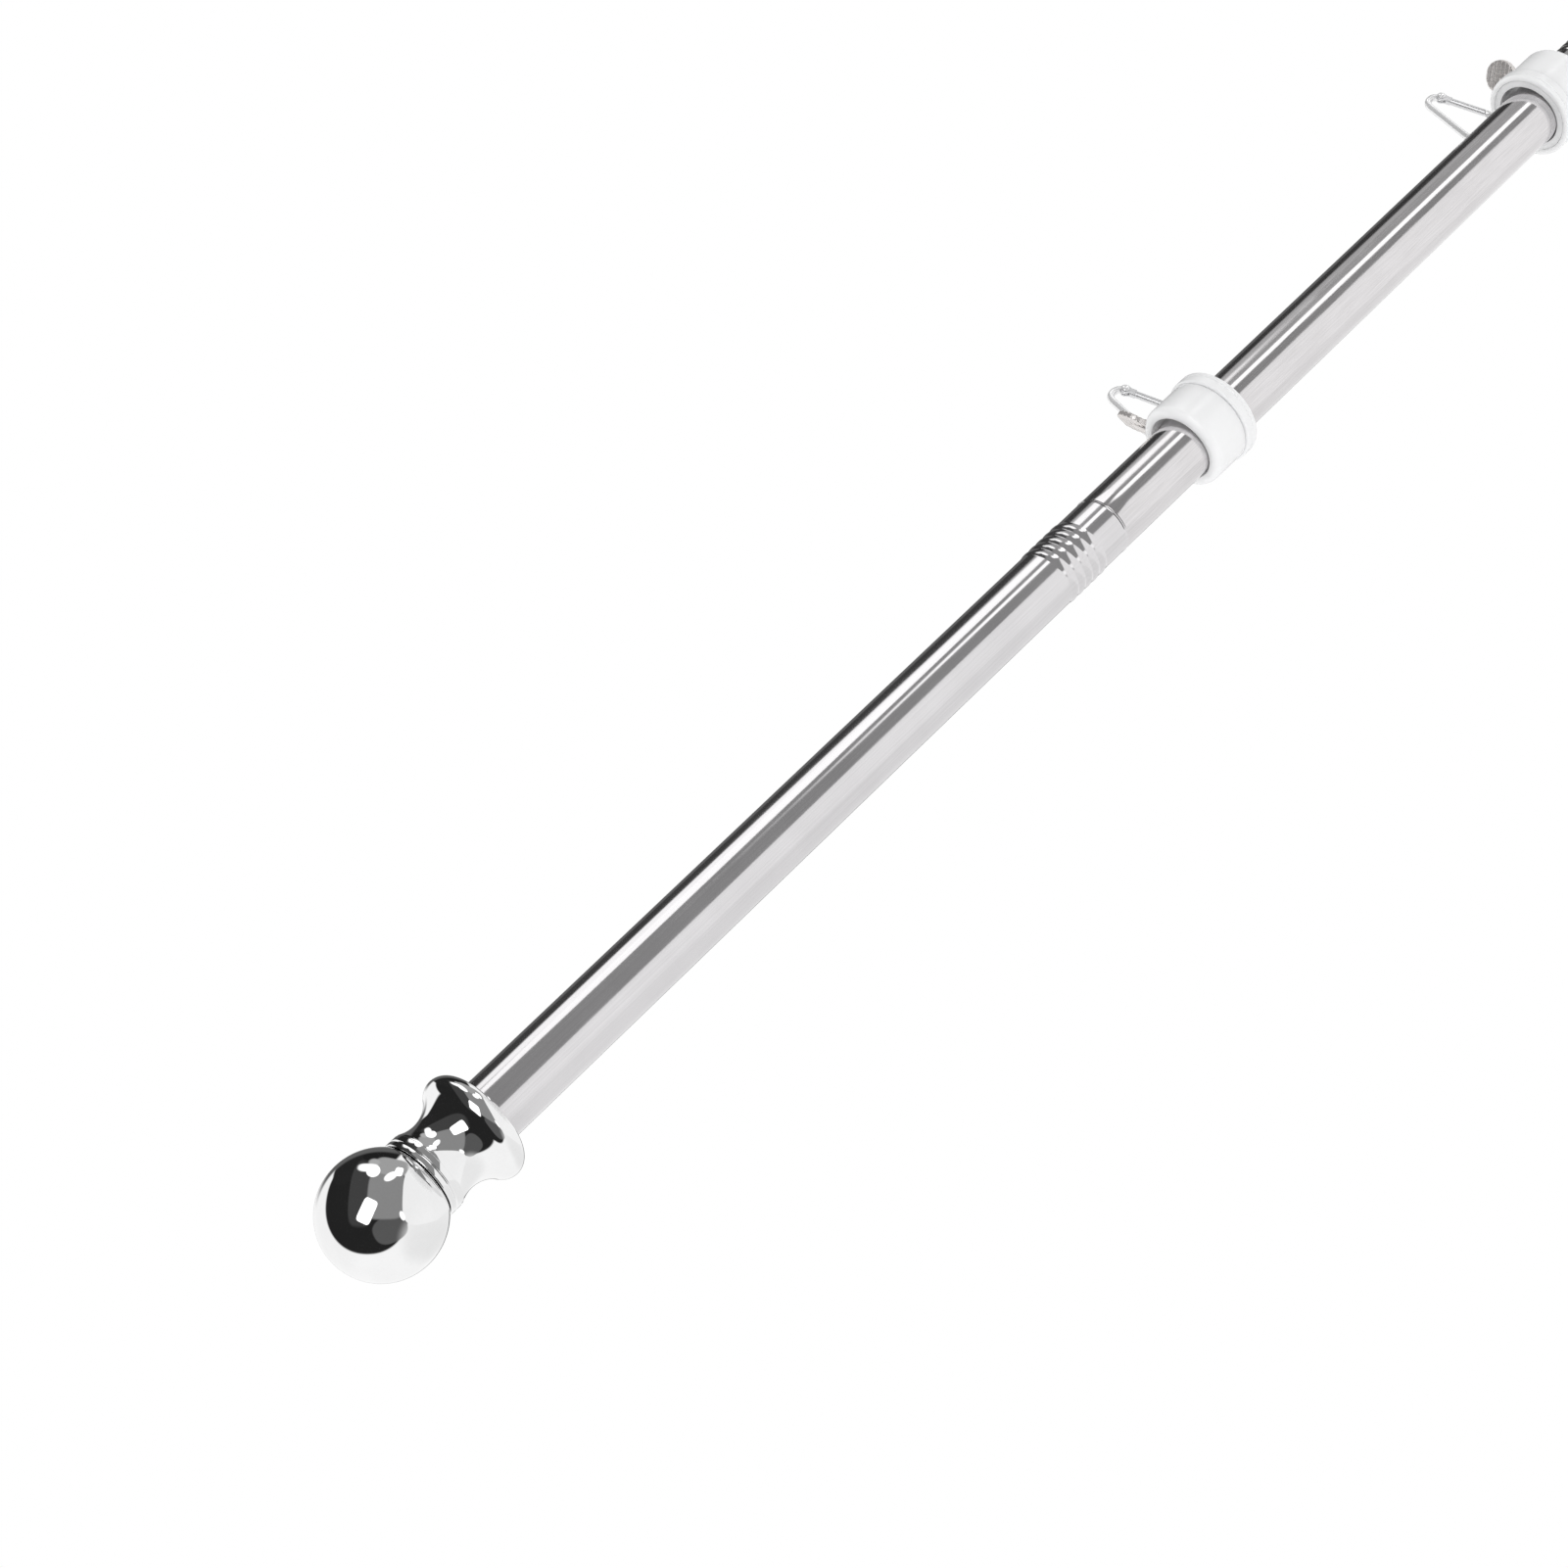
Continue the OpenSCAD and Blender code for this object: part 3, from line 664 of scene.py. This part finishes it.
# Screw: a plain shank and a thicker neck carried round the screw's axis, and the plate
def makeScrew(number, look):
    centre = axisOf(f"collar_{number}_turn")
    low, high = boxOf(f"clamp_sleeve_{number}")
    above = look["height"] - ringLook["sleeveLength"]
    level = high[2] + above if number == 1 else low[2] - above
    angle, turn = math.radians(look["angle"]), math.radians(look["turn"][number])
    outward = np.array([math.cos(angle), math.sin(angle), 0])
    aside = np.cross((0, 0, 1), outward)
    plateAside = aside * math.cos(turn) + np.array([0, 0, math.sin(turn)])
    axes = (outward, plateAside, np.cross(outward, plateAside))
    origin = np.array([centre[0], centre[1], level])
    tip = poleR - np.linalg.norm(centre[:2]) + look["gap"]
    neckFrom = ringLook["sleeve"] + look["gap"]
    shank, edge = look["shank"], look["tipEdge"]
    side = np.array([[0, tip], [shank - edge, tip], [shank, tip + edge], [shank, neckFrom],
                     [look["neck"], neckFrom], [look["neck"], neckFrom + look["neckLength"]],
                     [shank, look["reach"]], [0, look["reach"]]])
    stem = place(revolve(side, look["segments"]), origin, (axes[1], axes[2], axes[0]))
    plate = place(plateSkin(look), origin, axes)
    makePiece(f"thumb_screw_{number}", [skin(stem), skin(plate)], f"ring_{number}",
              finishes["satin_casting"])


# Hook, gate and rivet share these
hookLook = {"wire": 1.5, "wide": 9.0, "narrow": 4.2, "span": 21.8, "slot": 0.55, "slotFloor": 0.8,
            "slotLength": 2.4, "slotOverlap": 0.2, "eye": 2.0, "eyeHalf": 0.6, "eyeFrom": 2.7, "eyeEase": 0.5,
            "eyeStep": 0.1, "cheekInner": 0.75, "cheekOuter": 1.5, "cheek": 2.05, "cheekHalf": 1.15,
            "cheekLength": 2.4, "cheekEdge": 0.12, "gateFrom": 2.3, "gateEdge": 0.3, "latch": 0.4,
            "tongue": 2.0, "tongueHalf": 0.4, "tongueRoot": 1.0, "tongueInset": 0.15, "tongueGap": 0.3,
            "tongueEdge": 0.1, "rivet": 0.9, "rivetGap": 0.15, "rivetHead": 1.7, "headHeight": 0.6,
            "rivetSides": 32, "sides": 40}
taper = math.asin((hookLook["wide"] - hookLook["narrow"]) / hookLook["span"])
armLength = hookLook["span"] * math.cos(taper)
# Axes of a hook's plane: along its length, up the pole, and across the wire
hookAxes = np.array([(1, 0, 0), (0, 0, 1), (0, -1, 0)], float)


# Middle of a hook's wide bend, from its rivet
def wideMiddle(number):
    rivet = axisOf(f"gate_{number}_open")
    back = np.array([-hookLook["span"] - hookLook["narrow"] * math.sin(taper), 0,
                     hookLook["narrow"] * math.cos(taper)])
    return rivet + back


# Stations along the hook's wire: nose, wide bend, straight back, narrow bend and the flat eye past the rivet
def hookStations(look):
    lean = math.degrees(taper)
    wide = arc((0, 0), look["wide"], 270 + lean, 90 - lean, 90)
    narrow = arc((look["span"], 0), look["narrow"], 90 - lean, lean - 90, 60)
    back = run(wide[-1], narrow[0], 24)
    eyeWay = np.array([-math.cos(taper), -math.sin(taper)])
    eye = narrow[-1] + np.linspace(look["eyeStep"], look["eye"], 14)[:, None] * eyeWay
    spots = np.concatenate([wide[:-1], back, narrow, eye])
    heading = np.gradient(spots, axis=0)
    heading /= np.linalg.norm(heading, axis=1)[:, None]
    return spots, heading


# Points in a hook's plane, with no offset across the wire
def inHook(flat):
    return np.column_stack([flat, np.zeros(len(flat))])


# Hook: round wire carried along its stations, notched at the nose for the gate and flattened at the eye
def makeHook(number, look):
    spots, heading = hookStations(look)
    steps = np.concatenate([[0], np.cumsum(np.linalg.norm(np.diff(spots, axis=0), axis=1))])
    outward = np.column_stack([-heading[:, 1], heading[:, 0]])
    origin = wideMiddle(number)
    angle = np.linspace(0, tau, look["sides"], endpoint=False)
    circle = look["wire"] * np.column_stack([np.cos(angle), np.sin(angle)])
    toEye = steps[-1] - look["eye"] - steps
    flat = ease((look["eyeFrom"] - toEye) / look["eyeEase"])
    roundEnd = np.sqrt(np.clip(1 - (np.maximum(-toEye, 0) / look["eye"]) ** 2, 0, 1))
    acrossScale = (1 + flat * (look["eye"] / look["wire"] - 1)) * roundEnd
    asideScale = 1 + flat * (look["eyeHalf"] / look["wire"] - 1)
    rest = steps >= look["slotLength"]
    asideAxes = np.tile((0.0, 0.0, 1.0), (len(spots), 1))
    wire = sweep(circle, inHook(spots), inHook(outward), asideAxes, acrossScale, asideScale)[rest]
    wire = np.concatenate([np.repeat(wire[:1].mean(axis=1, keepdims=True), look["sides"], axis=1), wire])
    inner = math.degrees(math.asin(look["slot"] / look["wire"]))
    floor = look["wire"] - look["slotFloor"]
    notch = np.concatenate([arc((0, 0), look["wire"], inner - 180, 180 - inner, 36),
                            [[floor, look["slot"]], [floor, -look["slot"]]]])
    nose = steps <= look["slotLength"] + look["slotOverlap"]
    cheeks = sweep(notch, inHook(spots), inHook(outward), asideAxes)[nose]
    floorSpot = (inHook(spots) + inHook(outward) * (look["wire"] - look["slotFloor"] / 2))[nose]
    ends = np.repeat(floorSpot[[0, -1], None], cheeks.shape[1], axis=1)
    cheeks = np.concatenate([ends[:1], cheeks, ends[1:]])
    skins = [skin(place(part, origin, hookAxes)) for part in (wire, cheeks)]
    makePiece(f"snap_hook_{number}", skins, f"hook_{number}", finishes["bright_wire"])


# Gate: straight wire from the fork to the nose, two fork cheeks round the rivet and a thin tongue
def makeGate(number, look):
    rivet = axisOf(f"gate_{number}_open")
    way = np.array([-math.cos(taper), 0, -math.sin(taper)])
    axes = np.array([way, np.cross((0, -1, 0), way), (0, -1, 0)])
    start, end = look["gateFrom"], armLength - look["latch"]
    wire, edge = look["wire"], look["gateEdge"]
    side = np.array([[0, start], [wire - edge, start], [wire, start + edge], [wire, end - edge],
                     [wire - edge, end], [0, end]])
    rod = place(revolve(side, look["sides"]), rivet, (axes[1], axes[2], axes[0]))
    half, cheekEnd = look["cheekHalf"], start + look["cheekLength"]
    outline = np.concatenate([arc((0, 0), look["cheek"], 60, 300, 32),
                              [[start, -half], [cheekEnd, -half], [cheekEnd, half], [start, half]]])
    skins = [skin(rod)]
    for low, high in ((look["cheekInner"], look["cheekOuter"]), (-look["cheekOuter"], -look["cheekInner"])):
        skins.append(skin(place(slab(outline, low, high, look["cheekEdge"]), rivet, axes)))
    root, tip = end - look["tongueRoot"], end + look["tongue"]
    top, foot = wire - look["slotFloor"] - look["tongueGap"], look["tongueInset"] - wire
    blade = np.array([[root, top], [root, foot], [tip, foot], [tip, top]])
    tongue = slab(blade, -look["tongueHalf"], look["tongueHalf"], look["tongueEdge"])
    skins.append(skin(place(tongue, rivet, axes)))
    makePiece(f"hook_gate_{number}", skins, f"gate_{number}", finishes["satin_wire"])


# Rivet: a short pin with a domed head at each end, carried round its own axis
def makeRivet(number, look):
    half = look["cheekOuter"] + look["rivetGap"]
    head = arc((0, 0), 1, 0, 90, 8) * (look["rivetHead"], look["headHeight"]) + (0, half)
    top = np.concatenate([[[look["rivet"], half]], head])
    side = np.concatenate([top[::-1], top * (1, -1)])
    side[[0, -1], 0] = 0
    points = place(revolve(side, look["rivetSides"]), axisOf(f"gate_{number}_open"), hookAxes)
    makePiece(f"hook_rivet_{number}", [skin(points)], f"hook_{number}", finishes["bright_wire"])


for number in (1, 2):
    makeSleeve(number, ringLook)
    makeCollar(number, ringLook)
    makeScrew(number, screwLook)
    makeHook(number, hookLook)
    makeGate(number, hookLook)
    makeRivet(number, hookLook)
print("rings, screws and hooks made")
